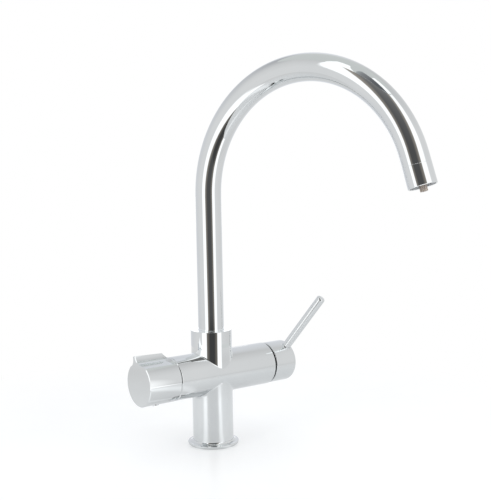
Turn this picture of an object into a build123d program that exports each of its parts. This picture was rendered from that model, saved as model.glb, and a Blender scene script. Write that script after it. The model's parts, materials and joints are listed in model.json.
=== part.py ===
from build123d import *
import os
from math import cos, radians, sin, sqrt, tan

# A three way filtered water tap: one casting with a column, a cross barrel and a spout collar, a swivelling
# swan neck that carries filtered water in a tube of its own, a filter knob on the left and a side lever
# mixer on the right.
# Millimetres and degrees. +Z is up, the origin is the middle of the base, and the user stands at -Y.

os.makedirs("parts", exist_ok=True)

# Fits and gaps
fit = 0.05  # radial clearance of what is screwed, pressed or sealed in place
running_fit = 0.08  # radial clearance of what turns
slide_gap = 0.2  # between flat faces that slide past each other
seat_gap = 0.3  # between a moving piece and what it passes or stops short of
groove_slack = 0.2  # how much wider a groove is than the rubber ring in it
cut_past = 1.0  # how far a cut runs on past the surface that it opens

# Base and column
column_diameter = 40.0
column_wall = 3.0
cavity_roof = 38.0
base_ring_diameter = 50.0
base_rim_height = 3.6
base_rim_band = 1.0  # upright part of the rim
base_edge = 0.4
base_neck_height = 5.6
base_neck_lip = 0.7  # thickness of the neck around the column
dish_offset = 1.6  # the top is dished through a point this far out from the column
dish_rise = 0.9  # and this far above the rim
base_bore_diameter = 33.0
ledge_height = 2.0
gasket_width = 3.0
gasket_height = 1.5

# Threaded holes in the roof of the column's cavity, drawn at their core diameter
stud_hole_diameter = 6.8
inlet_hole_diameter = 9.0
inlet_circle_diameter = 20.0
inlet_angle = 60.0  # of the hot and the cold inlet, from +X
thread_depth = 12.0
waterway_diameter = 5.6
cross_drilling_diameter = 3.4

# Cross barrel
barrel_height = 71.5
barrel_step = 1.0  # how far the barrel stands proud of the column
barrel_left = 49.0
barrel_right = 64.0
barrel_edge = 0.8  # rounding towards the lever
barrel_knob_edge = 1.6  # and towards the knob
lower_blend = 3.0  # where the barrel meets the column
upper_blend = 1.2  # where it meets the collar

# Spout collar
collar_height = 114.0
collar_edge = 0.4
collar_bore_depth = 30.0
socket_depth = 9.0
trim_ring_height = 3.0
lock_screw_diameter = 5.0
lock_tip_diameter = 2.6
lock_groove_depth = 1.5

# Spout
spout_diameter = 25.0
spout_wall = 1.2
spout_turn = -75.0  # which way the spout points at rest, from +X
arc_height = 245.5
arc_radius = 113.5
arc_lean = 17.3  # how far short of vertical the outlet stays
tip_length = 27.0
spigot_flange = 1.4  # how far the spigot's flange stands out from the spout
spigot_flange_height = 13.8
spigot_neck_length = 14.0
spigot_wall = 1.8
o_ring_section = 2.0
small_ring_section = 1.8
small_groove_land = 0.8
tube_rise = 4.6  # from the foot of the inner tube's fitting to the tube's end

# Outlet
ferrule_length = 18.1
ferrule_wall = 1.3
ferrule_edge = 0.4
ferrule_neck_length = 5.5
outlet_recess = 2.6
aerator_length = 11.8
washer_thickness = 1.5
washer_width = 2.0
washer_seat = 1.0
jet_count = 12
jet_length = 4.4
jet_width = 1.8
nozzle_diameter = 6.6
nozzle_reach = 4.0
flute_count = 12
flute_radius = 0.35
nozzle_head_length = 9.0
filter_tube_diameter = 6.4
filter_tube_bore = 4.4

# Filter knob
knob_step = 0.25  # how far the knob stands proud of the barrel
knob_length = 34.1
knob_gap = 0.4
knob_wall = 1.6
knob_face_thickness = 4.0
knob_edge = 0.7
fin_lean = 17.0  # the fin leans this far back at rest
fin_height = 5.7
fin_width = 4.4
fin_fall = 1.1  # the crest is this much lower at the barrel's end
fin_run_out = 4.6  # length over which the fin runs out towards the barrel
knob_band = 1.0  # plain round band beside the barrel
scoop_depth = 2.4
scoop_floor_angle = 23.0  # angles are counted from the fin, towards the front
scoop_front_angle = 53.0
scoop_back_angle = -27.0
knob_screw_back = 14.0  # from the knob's face to its grub screw

# Ceramic valve under the filter knob
valve_chamber_depth = 25.0
valve_thread_diameter = 20.8
valve_thread_length = 10.0
valve_body_diameter = 16.0
valve_disc_diameter = 12.8
valve_disc_thickness = 3.0
valve_seal_thickness = 2.0
valve_hex_size = 22.0
valve_hex_height = 6.0
valve_neck_length = 4.0
valve_neck_wall = 1.5
valve_seal_slack = 1.2  # how much wider the seat's seal is than the waterway
window_land = 1.0  # left beside a window in a ceramic disc
spindle_diameter = 8.0
spindle_reach = 25.0  # how far the spindle stands out of the barrel
spindle_edge = 0.6
spindle_ring_section = 1.4
spline_count = 12
spline_radius = 0.4
circlip_thickness = 0.8
circlip_depth = 0.6
circlip_mouth = 1.8

# Side lever mixer
mixer_floor = 21.0
cartridge_diameter = 34.0
cartridge_length = 34.0
cartridge_wall = 1.8
cartridge_end_wall = 4.0
cartridge_neck_bore = 25.0
cartridge_neck_wall = 2.0
cartridge_neck_height = 4.0
cartridge_base_height = 5.0
rotor_recess = 1.0  # how far the rotor stays inside the housing's neck
fixed_disc_thickness = 3.5
moving_disc_thickness = 4.0
moving_disc_diameter = 21.0
carrier_diameter = 22.0
carrier_thickness = 5.0
carrier_rib_height = 1.8
carrier_rib_width = 14.0
port_diameter = 5.0
port_side = 6.5
port_drop = 4.0
port_rise = 6.5
port_seal_section = 1.6
pivot_depth = 19.0  # from the barrel's end to the lever's pivot
pivot_pin_diameter = 3.0
pivot_pin_length = 28.0
ball_diameter = 4.4
ball_arm = 8.6  # from the lever's pivot to its ball end
ball_slack = 0.1
stem_size = 7.0
stem_heel = 1.3  # left of the stem below its pivot
nut_height = 7.5
nut_thread_wall = 2.5
nut_notches = 6
nut_notch_width = 2.4
dome_opening = 30.0
dome_radius = 26.3

# Lever
lever_swing = 25.0
cap_step = 0.5  # how far the cap stays inside the barrel's outline
cap_gap = 2.0
cap_length = 27.5
cap_wall = 1.4
cap_end_thickness = 5.0
cap_round = 6.0
cap_rim_round = 0.9
cap_rim_bevel = 0.4  # inside the rim
cap_hub_gap = 1.8  # from the dome to the hub inside the cap
lever_turn = 33.0  # the lever leans this far forward at rest
lever_lean = 17.8  # and this far outward
lever_root = 14.0  # from the cap's rim to where the rod's line meets the axis
lever_length = 63.4
lever_base_diameter = 8.6
lever_tip_diameter = 8.8
lever_tip_round = 2.2
lever_thread_diameter = 6.0
lever_thread_length = 5.0

# Hubs and grub screws of the knob and the cap
hub_diameter = 16.0
screw_diameter = 5.0
screw_length = 9.0
screw_lug_wall = 2.0
plug_diameter = 6.0
plug_length = 4.0
plug_stand = 0.6

# Radii worked out from the sizes above
column_radius = column_diameter / 2
cavity_radius = column_radius - column_wall
barrel_radius = column_radius + barrel_step
spout_radius = spout_diameter / 2
spout_bore = spout_radius - spout_wall
spigot_radius = spout_radius + spigot_flange
collar_bore = spigot_radius + seat_gap
filter_tube_radius = filter_tube_diameter / 2
filter_socket = filter_tube_radius + small_ring_section
inlet_radius = inlet_circle_diameter / 2
waterway = waterway_diameter / 2
cartridge_radius = cartridge_diameter / 2
nut_radius = barrel_radius - nut_thread_wall
valve_chamber = valve_thread_diameter / 2
valve_body = valve_body_diameter / 2
knob_radius = barrel_radius + knob_step
cap_radius = barrel_radius - cap_step
hub_radius = hub_diameter / 2
spindle_radius = spindle_diameter / 2
quarter_middle = 1 - sqrt(0.5)  # how near the middle of a quarter circle of radius 1 comes to its corner

# Working directions and planes
barrel_centre = Vector(0, 0, barrel_height)
barrel_axis = Axis(barrel_centre, (1, 0, 0))
barrel_section = Plane(origin=barrel_centre, x_dir=(1, 0, 0), z_dir=(0, -1, 0))
spout_forward = Vector(cos(radians(spout_turn)), sin(radians(spout_turn)), 0)
spout_plane = Plane(origin=(0, 0, 0), x_dir=spout_forward, z_dir=spout_forward.cross(Vector(0, 0, 1)))
fin_side = Vector(0, sin(radians(fin_lean)), cos(radians(fin_lean)))
lever_side = Vector(0, -sin(radians(lever_turn)), cos(radians(lever_turn)))
hinge_line = Vector(0, cos(radians(lever_turn)), sin(radians(lever_turn)))


def on_axis(x):
    """The point on the barrel's axis at x."""
    return barrel_centre + Vector(x, 0, 0)


def across_barrel(x, up=(0, 0, 1)):
    """The plane across the barrel at x that faces +X, with its own x axis pointing up."""
    return Plane(origin=on_axis(x), x_dir=up, z_dir=(1, 0, 0))


def turn(section, axis, outline, mode=Mode.ADD):
    """Turns a closed outline of (along, out) points about an axis that lies in its plane."""
    with BuildSketch(section, mode=Mode.PRIVATE) as profile:
        with BuildLine():
            Polyline(*outline, close=True)
        make_face()
    revolve(profile.sketch, axis=axis, mode=mode)


def turn_upright(outline, mode=Mode.ADD):
    """Turns an outline of (radius, height) points about the column's axis."""
    turn(Plane.XZ, Axis.Z, outline, mode)


def turn_barrel(outline, mode=Mode.ADD):
    """Turns an outline of (x, radius) points about the barrel's axis."""
    turn(barrel_section, barrel_axis, outline, mode)


def bar(start, along, radius, length, mode=Mode.ADD):
    """A round bar or, subtracted, a drilled hole, from a point along a direction."""
    with BuildSketch(Plane(origin=start, z_dir=along), mode=Mode.PRIVATE) as end:
        Circle(radius)
    extrude(end.sketch, amount=length, mode=mode)


def rubber_ring(plane, outer_radius, section):
    """A ring of round section that reaches out to outer_radius."""
    with Locations(plane):
        Torus(outer_radius - section / 2, section / 2)


def hex_socket(mouth, along, size, depth):
    """The hexagonal key socket in the end of a screw."""
    with BuildSketch(Plane(origin=mouth, z_dir=along), mode=Mode.PRIVATE) as key:
        RegularPolygon(size / 2, 6, major_radius=False)
    extrude(key.sketch, amount=depth, mode=Mode.SUBTRACT)


# ---------------------------------------------------------------- casting and base

collar_floor = collar_height - collar_bore_depth
socket_floor = collar_floor - socket_depth
spout_foot = collar_floor + slide_gap + spigot_flange_height
lock_height = spout_foot - lock_screw_diameter / 2 - seat_gap
nut_seat = mixer_floor + cartridge_length
valve_floor = -barrel_left + valve_chamber_depth
mixer_port_x = filter_socket + waterway + column_wall / 2
hot_and_cold_x = inlet_radius * cos(radians(inlet_angle))
hot_and_cold_y = inlet_radius * sin(radians(inlet_angle))
filter_way_out = on_axis(valve_floor) + Vector(0, 0, (valve_chamber + valve_body) / 2)
filter_way_in = Vector(0, 0, socket_floor + waterway / 2)
filter_way = filter_way_in - filter_way_out

with BuildPart() as body_casting:
    # column with its collar, and the barrel across it
    with BuildSketch(Plane.XY.offset(ledge_height)):
        Circle(column_radius)
    extrude(amount=collar_height - ledge_height)
    bar(on_axis(-barrel_left), (1, 0, 0), barrel_radius, barrel_left + barrel_right)
    # the barrel blends tightly into the collar above and softly into the column below
    crossings = body_casting.edges().filter_by(GeomType.BSPLINE)
    fillet(crossings.filter_by(lambda edge: edge.center().Z > barrel_height), radius=upper_blend)
    crossings = body_casting.edges().filter_by(GeomType.BSPLINE)
    fillet(crossings.filter_by(lambda edge: edge.center().Z < barrel_height), radius=lower_blend)
    # rounded ends
    fillet(body_casting.faces().sort_by(Axis.X)[-1].edges(), radius=barrel_edge)
    fillet(body_casting.faces().sort_by(Axis.X)[0].edges(), radius=barrel_knob_edge)
    fillet(body_casting.faces().sort_by(Axis.Z)[-1].edges(), radius=collar_edge)
    # hollow column, with the stud's hole and the three inlets in its roof
    bar((0, 0, 0), (0, 0, 1), cavity_radius, cavity_roof, mode=Mode.SUBTRACT)
    bar((0, 0, cavity_roof), (0, 0, 1), stud_hole_diameter / 2, thread_depth, mode=Mode.SUBTRACT)
    for x, y, top in ((hot_and_cold_x, hot_and_cold_y, barrel_height - port_drop),
                      (hot_and_cold_x, -hot_and_cold_y, barrel_height - port_drop),
                      (-inlet_radius, 0, barrel_height)):
        bar((x, y, cavity_roof), (0, 0, 1), inlet_hole_diameter / 2, thread_depth, mode=Mode.SUBTRACT)
        bar((x, y, cavity_roof), (0, 0, 1), waterway, top - cavity_roof, mode=Mode.SUBTRACT)
    # filter valve chamber on the left, cartridge bore and nut thread on the right
    bar(on_axis(-barrel_left), (1, 0, 0), valve_chamber, valve_chamber_depth, mode=Mode.SUBTRACT)
    bar(on_axis(mixer_floor), (1, 0, 0), cartridge_radius + fit, barrel_right, mode=Mode.SUBTRACT)
    bar(on_axis(nut_seat), (1, 0, 0), nut_radius, barrel_right, mode=Mode.SUBTRACT)
    # collar bore, with the filtered water socket in its floor
    bar((0, 0, collar_floor), (0, 0, 1), collar_bore, collar_height, mode=Mode.SUBTRACT)
    bar((0, 0, socket_floor), (0, 0, 1), filter_socket, socket_depth, mode=Mode.SUBTRACT)
    # hot and cold water to the cartridge, and mixed water from it up to the collar
    for side in (port_side, -port_side):
        bar(on_axis(hot_and_cold_x) + Vector(0, side, -port_drop), (1, 0, 0), port_diameter / 2,
            mixer_floor - hot_and_cold_x, mode=Mode.SUBTRACT)
    bar(on_axis(mixer_port_x) + Vector(0, 0, port_rise), (1, 0, 0), port_diameter / 2,
        mixer_floor - mixer_port_x, mode=Mode.SUBTRACT)
    bar(on_axis(mixer_port_x) + Vector(0, 0, port_rise), (0, 0, 1), waterway,
        collar_floor - barrel_height - port_rise, mode=Mode.SUBTRACT)
    # filtered water to the valve's seat, and from its chamber up to the socket
    bar(on_axis(valve_floor), (1, 0, 0), waterway, -inlet_radius - valve_floor, mode=Mode.SUBTRACT)
    bar(filter_way_out, filter_way, cross_drilling_diameter / 2, filter_way.length, mode=Mode.SUBTRACT)
    # threaded hole of the spout's locking screw, at the back of the collar
    bar((0, 0, lock_height), (0, 1, 0), lock_screw_diameter / 2 + fit, column_radius, mode=Mode.SUBTRACT)

base_radius = base_ring_diameter / 2
base_bore = base_bore_diameter / 2
gasket_inner = base_bore + gasket_height
gasket_outer = gasket_inner + gasket_width
base_tuck = base_rim_height - base_rim_band  # how far the underside draws in

with BuildPart() as base_ring:
    with BuildSketch(Plane.XZ):
        with BuildLine():
            rim = Polyline((base_radius - base_edge, base_rim_height),
                           (base_radius, base_rim_height - base_edge), (base_radius, base_tuck))
            corner = base_tuck * quarter_middle
            underside = ThreePointArc(rim @ 1, (base_radius - corner, corner), (base_radius - base_tuck, 0))
            seat = Polyline(underside @ 1, (base_bore, 0), (base_bore, ledge_height),
                            (column_radius + fit, ledge_height), (column_radius + fit, base_neck_height),
                            (column_radius + base_neck_lip, base_neck_height))
            # the top is dished between the neck and the rim
            ThreePointArc(seat @ 1, (column_radius + dish_offset, base_rim_height + dish_rise), rim @ 0)
        make_face()
    revolve(axis=Axis.Z)
    turn_upright([(gasket_inner - fit, 0), (gasket_outer + fit, 0), (gasket_outer + fit, gasket_height),
                  (gasket_inner - fit, gasket_height)], mode=Mode.SUBTRACT)

with BuildPart() as base_gasket:
    turn_upright([(gasket_inner, 0), (gasket_outer, 0), (gasket_outer, gasket_height),
                  (gasket_inner, gasket_height)])

# ---------------------------------------------------------------- spout foot and what holds it

spigot_bottom = collar_floor + slide_gap
spigot_bore = spout_bore - spigot_wall
groove_width = o_ring_section + groove_slack
groove_radius = collar_bore - o_ring_section - 2 * fit
lock_groove_radius = spigot_radius - lock_groove_depth
lock_groove_half = lock_tip_diameter / 2 + seat_gap
groove_land = (lock_height - lock_groove_half - spigot_bottom - 2 * groove_width) / 3
ring_grooves = [spigot_bottom + groove_land, spigot_bottom + 2 * groove_land + groove_width]

with BuildPart() as spout_spigot:
    turn_upright([(spigot_bore, spigot_bottom), (spigot_radius, spigot_bottom), (spigot_radius, spout_foot),
                  (spout_bore - fit, spout_foot), (spout_bore - fit, spout_foot + spigot_neck_length),
                  (spigot_bore, spout_foot + spigot_neck_length)])
    for bottom in ring_grooves:
        turn_upright([(groove_radius, bottom), (spigot_radius, bottom),
                      (spigot_radius, bottom + groove_width), (groove_radius, bottom + groove_width)],
                     mode=Mode.SUBTRACT)
    turn_upright([(lock_groove_radius, lock_height - lock_groove_half),
                  (spigot_radius, lock_height - lock_groove_half),
                  (spigot_radius, lock_height + lock_groove_half),
                  (lock_groove_radius, lock_height + lock_groove_half)], mode=Mode.SUBTRACT)

with BuildPart() as spout_o_rings:
    for bottom in ring_grooves:
        rubber_ring(Plane.XY.offset(bottom + groove_width / 2), collar_bore - fit, o_ring_section)

trim_floor = collar_height - trim_ring_height
spout_hole = spout_radius + running_fit

with BuildPart() as spout_trim_ring:
    turn_upright([(spout_hole, trim_floor), (collar_bore - fit, trim_floor),
                  (collar_bore - fit, collar_height), (spout_hole + collar_edge, collar_height),
                  (spout_hole, collar_height - collar_edge)])

with BuildPart() as spout_bush:
    turn_upright([(spout_hole, spout_foot + seat_gap), (collar_bore - fit, spout_foot + seat_gap),
                  (collar_bore - fit, trim_floor), (spout_hole, trim_floor)])

lock_screw_head = column_radius - barrel_edge
with BuildPart() as spout_lock_screw:
    bar((0, collar_bore + seat_gap, lock_height), (0, 1, 0), lock_screw_diameter / 2,
        lock_screw_head - collar_bore - seat_gap)
    bar((0, lock_groove_radius + seat_gap, lock_height), (0, 1, 0), lock_tip_diameter / 2,
        lock_screw_head - lock_groove_radius - seat_gap)
    hex_socket((0, lock_screw_head, lock_height), (0, -1, 0), lock_screw_diameter / 2,
               lock_screw_diameter / 2)

fitting_radius = filter_socket - running_fit
fitting_bottom = socket_floor + waterway + seat_gap
fitting_top = collar_floor + filter_tube_diameter
tube_stop = fitting_bottom + tube_rise
small_groove_width = small_ring_section + groove_slack
small_groove = fitting_bottom + small_groove_land

with BuildPart() as inner_tube_fitting:
    turn_upright([(filter_tube_bore / 2, fitting_bottom), (fitting_radius, fitting_bottom),
                  (fitting_radius, fitting_top), (filter_tube_radius + fit, fitting_top),
                  (filter_tube_radius + fit, tube_stop), (filter_tube_bore / 2, tube_stop)])
    turn_upright([(filter_tube_radius - fit, small_groove), (fitting_radius, small_groove),
                  (fitting_radius, small_groove + small_groove_width),
                  (filter_tube_radius - fit, small_groove + small_groove_width)], mode=Mode.SUBTRACT)

with BuildPart() as inner_tube_o_ring:
    rubber_ring(Plane.XY.offset(small_groove + small_groove_width / 2), filter_socket - fit,
                small_ring_section)

# ---------------------------------------------------------------- swan neck and outlet

outflow = spout_forward * sin(radians(arc_lean)) - Vector(0, 0, cos(radians(arc_lean)))
arc_end = spout_forward * (arc_radius + arc_radius * cos(radians(arc_lean))) + Vector(
    0, 0, arc_height + arc_radius * sin(radians(arc_lean)))
outlet = arc_end + outflow * tip_length
outlet_axis = Axis(outlet, outflow)
outlet_section = Plane(origin=outlet, x_dir=outflow, z_dir=spout_plane.z_dir)


def across_outlet(along):
    """The plane across the outlet, a distance past the tip along the outflow."""
    return Plane(origin=outlet + outflow * along, z_dir=outflow)


def turn_outlet(outline, mode=Mode.ADD):
    """Turns an outline of (distance past the tip, radius) points about the outlet's axis."""
    turn(outlet_section, outlet_axis, outline, mode)


def swan_neck(foot, end, radius, bore):
    """A bent tube along the spout's centre line, from a height to a distance past the tip."""
    with BuildLine(spout_plane, mode=Mode.PRIVATE) as centre_line:
        Line((0, foot), (0, arc_height))
        bend = CenterArc((arc_radius, arc_height), arc_radius, 180, arc_lean - 180)
        PolarLine(bend @ 1, tip_length + end, direction=bend % 1)
    with BuildSketch(Plane.XY.offset(foot), mode=Mode.PRIVATE) as ring:
        Circle(radius)
        Circle(bore, mode=Mode.SUBTRACT)
    sweep(ring.sketch, path=centre_line.wires()[0])


with BuildPart() as spout_tube:
    swan_neck(spout_foot, -ferrule_length, spout_radius, spout_bore)

ferrule_bore = spout_radius - ferrule_wall
washer_bore = ferrule_bore - washer_width
seat_bore = ferrule_bore - washer_seat
aerator_top = -outlet_recess - aerator_length
washer_top = aerator_top - washer_thickness
neck_top = -ferrule_length - ferrule_neck_length

with BuildPart() as outlet_ferrule:
    turn_outlet([(neck_top, seat_bore), (neck_top, spout_bore - fit), (-ferrule_length, spout_bore - fit),
                 (-ferrule_length, spout_radius), (-ferrule_edge, spout_radius),
                 (0, spout_radius - ferrule_edge), (0, ferrule_bore + ferrule_edge),
                 (-ferrule_edge, ferrule_bore), (washer_top, ferrule_bore), (washer_top, seat_bore)])

with BuildPart() as aerator_washer:
    turn_outlet([(washer_top, washer_bore), (washer_top, ferrule_bore - fit),
                 (aerator_top, ferrule_bore - fit), (aerator_top, washer_bore)])

nozzle_radius = nozzle_diameter / 2
aerator_radius = ferrule_bore - fit
jet_circle = (aerator_radius + nozzle_radius) / 2

with BuildPart() as aerator_body:
    turn_outlet([(aerator_top, nozzle_radius + fit), (aerator_top, aerator_radius),
                 (-outlet_recess, aerator_radius), (-outlet_recess, nozzle_radius + fit)])
    # a ring of slots lets the mixed water out around the filtered water's nozzle
    with BuildSketch(across_outlet(aerator_top)):
        with PolarLocations(jet_circle, jet_count):
            SlotOverall(jet_length, jet_width)
    extrude(amount=aerator_length, mode=Mode.SUBTRACT)

nozzle_tube_stop = aerator_top - waterway / 2
nozzle_top = aerator_top - nozzle_head_length

with BuildPart() as filtered_nozzle:
    turn_outlet([(nozzle_top, filter_tube_radius + fit), (nozzle_top, filter_socket),
                 (aerator_top, filter_socket), (aerator_top, nozzle_radius), (nozzle_reach, nozzle_radius),
                 (nozzle_reach, filter_tube_bore / 2), (nozzle_tube_stop, filter_tube_bore / 2),
                 (nozzle_tube_stop, filter_tube_radius + fit)])
    # flutes down the part that shows
    with BuildSketch(across_outlet(-outlet_recess)):
        with PolarLocations(nozzle_radius, flute_count):
            Circle(flute_radius)
    extrude(amount=outlet_recess + nozzle_reach, mode=Mode.SUBTRACT)

with BuildPart() as inner_filter_tube:
    swan_neck(tube_stop, nozzle_tube_stop, filter_tube_radius, filter_tube_bore / 2)

# ---------------------------------------------------------------- ceramic valve of the filtered water

disc_radius = valve_disc_diameter / 2
disc_window = disc_radius / 2
disc_chamber = disc_radius + running_fit
seal_face = valve_floor - valve_seal_thickness
fixed_face = seal_face - valve_disc_thickness
moving_face = fixed_face - valve_disc_thickness
spindle_head_face = moving_face - valve_disc_thickness
chamber_end = spindle_head_face - slide_gap
hex_end = -barrel_left - valve_hex_height
neck_end = hex_end - valve_neck_length
neck_radius = disc_radius + valve_neck_wall
seal_bore = waterway + valve_seal_slack
window_radius = disc_window - window_land
thread_start = -barrel_left + valve_thread_length
spindle_end = -barrel_left - spindle_reach
spindle_groove = -barrel_left + valve_neck_length
clip_face = neck_end - slide_gap
clip_end = clip_face - circlip_thickness
clip_groove = spindle_radius - circlip_depth

with BuildPart() as filter_valve_bonnet:
    turn_barrel([(seal_face, disc_chamber), (seal_face, valve_body), (thread_start, valve_body),
                 (thread_start, valve_chamber - fit), (-barrel_left, valve_chamber - fit),
                 (-barrel_left, neck_radius), (neck_end, neck_radius),
                 (neck_end, spindle_radius + running_fit), (chamber_end, spindle_radius + running_fit),
                 (chamber_end, disc_chamber)])
    with BuildSketch(across_barrel(-barrel_left)):
        RegularPolygon(valve_hex_size / 2, 6, major_radius=False)
        Circle(neck_radius, mode=Mode.SUBTRACT)
    extrude(amount=-valve_hex_height)
    # windows that let the water out beside the moving disc
    with BuildSketch(Plane(origin=on_axis(moving_face), z_dir=(0, 0, 1))):
        Rectangle(valve_disc_thickness, disc_radius)
    extrude(amount=valve_chamber, both=True, mode=Mode.SUBTRACT)

with BuildPart() as filter_bonnet_o_ring:
    rubber_ring(across_barrel(thread_start + small_ring_section / 2 + fit), valve_chamber - fit,
                small_ring_section)

with BuildPart() as filter_seat_seal:
    turn_barrel([(valve_floor, seal_bore), (valve_floor, valve_body), (seal_face, valve_body),
                 (seal_face, seal_bore)])

with BuildPart() as filter_fixed_disc:
    bar(on_axis(fixed_face), (1, 0, 0), disc_radius, valve_disc_thickness)
    for side in (disc_window, -disc_window):
        bar(on_axis(fixed_face) + Vector(0, 0, side), (1, 0, 0), window_radius, valve_disc_thickness,
            mode=Mode.SUBTRACT)

with BuildPart() as filter_moving_disc:
    bar(on_axis(moving_face), (1, 0, 0), disc_radius, valve_disc_thickness - slide_gap)
    for side in (disc_radius, -disc_radius):
        bar(on_axis(moving_face) + Vector(0, side, 0), (1, 0, 0), disc_window, valve_disc_thickness,
            mode=Mode.SUBTRACT)

with BuildPart() as filter_spindle:
    turn_barrel([(moving_face, 0), (moving_face, disc_radius), (spindle_head_face, disc_radius),
                 (spindle_head_face, spindle_radius), (spindle_end + spindle_edge, spindle_radius),
                 (spindle_end, spindle_radius - spindle_edge), (spindle_end, 0)])
    turn_barrel([(spindle_groove, spindle_radius - spindle_ring_section), (spindle_groove, spindle_radius),
                 (spindle_groove + small_ring_section, spindle_radius),
                 (spindle_groove + small_ring_section, spindle_radius - spindle_ring_section)],
                mode=Mode.SUBTRACT)
    turn_barrel([(clip_face, clip_groove), (clip_face, spindle_radius), (clip_end, spindle_radius),
                 (clip_end, clip_groove)], mode=Mode.SUBTRACT)
    # the head is open beside the moving disc's windows, and the outer end is splined
    for side in (disc_radius, -disc_radius):
        bar(on_axis(spindle_head_face) + Vector(0, side, 0), (1, 0, 0), window_radius,
            valve_disc_thickness, mode=Mode.SUBTRACT)
    with BuildSketch(across_barrel(spindle_end)):
        with PolarLocations(spindle_radius, spline_count):
            Circle(spline_radius)
    extrude(amount=clip_end - spindle_end - hub_radius / 2, mode=Mode.SUBTRACT)

with BuildPart() as filter_spindle_o_ring:
    rubber_ring(across_barrel(spindle_groove + small_ring_section / 2), spindle_radius + fit,
                spindle_ring_section)

with BuildPart() as filter_spindle_circlip:
    with BuildSketch(across_barrel(clip_end)):
        Circle(spindle_radius + 2 * circlip_depth)
        Circle(clip_groove + fit, mode=Mode.SUBTRACT)
        with Locations((0, -spindle_radius)):
            Rectangle(circlip_mouth, spindle_radius, mode=Mode.SUBTRACT)
    extrude(amount=circlip_thickness)

# ---------------------------------------------------------------- filter knob

knob_rim = -barrel_left - knob_gap
knob_face = knob_rim - knob_length
knob_inside = knob_face + knob_face_thickness
knob_cavity = knob_radius - scoop_depth - knob_wall
knob_hub_start = clip_end - seat_gap
knob_screw_root = on_axis(knob_face + knob_screw_back)
screw_hole = screw_diameter / 2 + fit
plug_hole = plug_diameter / 2 + fit
screw_lug = screw_diameter / 2 + screw_lug_wall


def knob_point(radius, angle):
    """A point of the knob's outline, by its radius and its angle from the fin towards the front."""
    return (radius * sin(radians(angle)), radius * cos(radians(angle)))


def cut_screw_hole(root, along, surface):
    """A grub screw's hole from the axis out to a surface, with a wider seat for its plug."""
    bar(root, along, screw_hole, surface + cut_past, mode=Mode.SUBTRACT)
    bar(root + along * (surface - plug_length), along, plug_hole, plug_length + cut_past,
        mode=Mode.SUBTRACT)


def grub_screw(root, along, tip):
    """A grub screw whose tip stands at a distance from the axis."""
    bar(root + along * tip, along, screw_diameter / 2, screw_length)
    hex_socket(root + along * (tip + screw_length), along * -1, screw_diameter / 2, screw_diameter / 2)


def screw_plug(root, along, surface):
    """The plug that hides a grub screw and stands a little proud of the surface."""
    bar(root + along * (surface - plug_length), along, plug_diameter / 2, plug_length + plug_stand)


with BuildPart() as filter_knob:
    # the outline: a circle with a fin, whose hollow flanks scoop down into the round
    with BuildSketch(Plane(origin=on_axis(knob_rim), x_dir=Vector(1, 0, 0).cross(fin_side),
                           z_dir=(-1, 0, 0))):
        with BuildLine():
            scoop = Line(knob_point(knob_radius, scoop_front_angle),
                         knob_point(knob_radius - scoop_depth, scoop_floor_angle))
            flank = TangentArc(scoop @ 1, (fin_width / 2, knob_radius + fin_height), tangent=scoop % 1)
            crest = Line(flank @ 1, (-fin_width / 2, knob_radius + fin_height))
            back_start = knob_point(knob_radius, scoop_back_angle)
            TangentArc(back_start, crest @ 1, tangent=(1, 0))
            ThreePointArc(back_start, (0, -knob_radius), scoop @ 0)
        make_face()
    extrude(amount=knob_length)
    chamfer(filter_knob.faces().sort_by(Axis.X)[0].edges(), length=knob_edge)
    # a plain round band beside the barrel, which the scoop and the fin run out to
    turn_barrel([(knob_rim, 0), (knob_rim, knob_radius), (knob_rim - knob_band, knob_radius),
                 (knob_rim - fin_run_out, knob_radius - scoop_depth), (knob_rim - fin_run_out, 0)])
    turn_barrel([(knob_rim, knob_radius), (knob_rim, 2 * knob_radius), (knob_face, 2 * knob_radius),
                 (knob_face, knob_radius + fin_height),
                 (knob_rim - fin_run_out, knob_radius + fin_height - fin_fall),
                 (knob_rim - knob_band, knob_radius)], mode=Mode.SUBTRACT)
    # hollow inside, around a hub for the spindle and a lug for the grub screw
    turn_barrel([(knob_rim, 0), (knob_rim, knob_cavity), (knob_inside, knob_cavity),
                 (knob_inside, hub_radius), (knob_hub_start, hub_radius), (knob_hub_start, 0)],
                mode=Mode.SUBTRACT)
    bar(knob_screw_root, -fin_side, screw_lug, knob_cavity + knob_wall / 2)
    bar(on_axis(spindle_end - seat_gap), (1, 0, 0), spindle_radius + fit,
        knob_hub_start - spindle_end + seat_gap, mode=Mode.SUBTRACT)
    cut_screw_hole(knob_screw_root, -fin_side, knob_radius)

with BuildPart() as knob_grub_screw:
    grub_screw(knob_screw_root, -fin_side, spindle_radius + fit)

with BuildPart() as knob_screw_plug:
    screw_plug(knob_screw_root, -fin_side, knob_radius)
    chamfer(knob_screw_plug.edges().sort_by_distance(knob_screw_root)[-1], length=plug_stand / 2)

# ---------------------------------------------------------------- mixer cartridge

base_end = mixer_floor + cartridge_base_height
fixed_disc_end = base_end + fixed_disc_thickness
moving_disc_start = fixed_disc_end + slide_gap
carrier_start = moving_disc_start + moving_disc_thickness
carrier_end = carrier_start + carrier_thickness
rib_end = carrier_end + carrier_rib_height
rotor_start = carrier_end + seat_gap
shell_end = nut_seat - cartridge_end_wall
rotor_shoulder = shell_end - slide_gap
neck_rim = nut_seat + cartridge_neck_height
rotor_end = neck_rim - rotor_recess
shell_bore = cartridge_radius - cartridge_wall
neck_bore = cartridge_neck_bore / 2
pivot_x = barrel_right - pivot_depth
pivot = on_axis(pivot_x)
ball_radius = ball_diameter / 2
ports = [(-port_drop, port_side), (-port_drop, -port_side), (port_rise, 0)]

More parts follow.
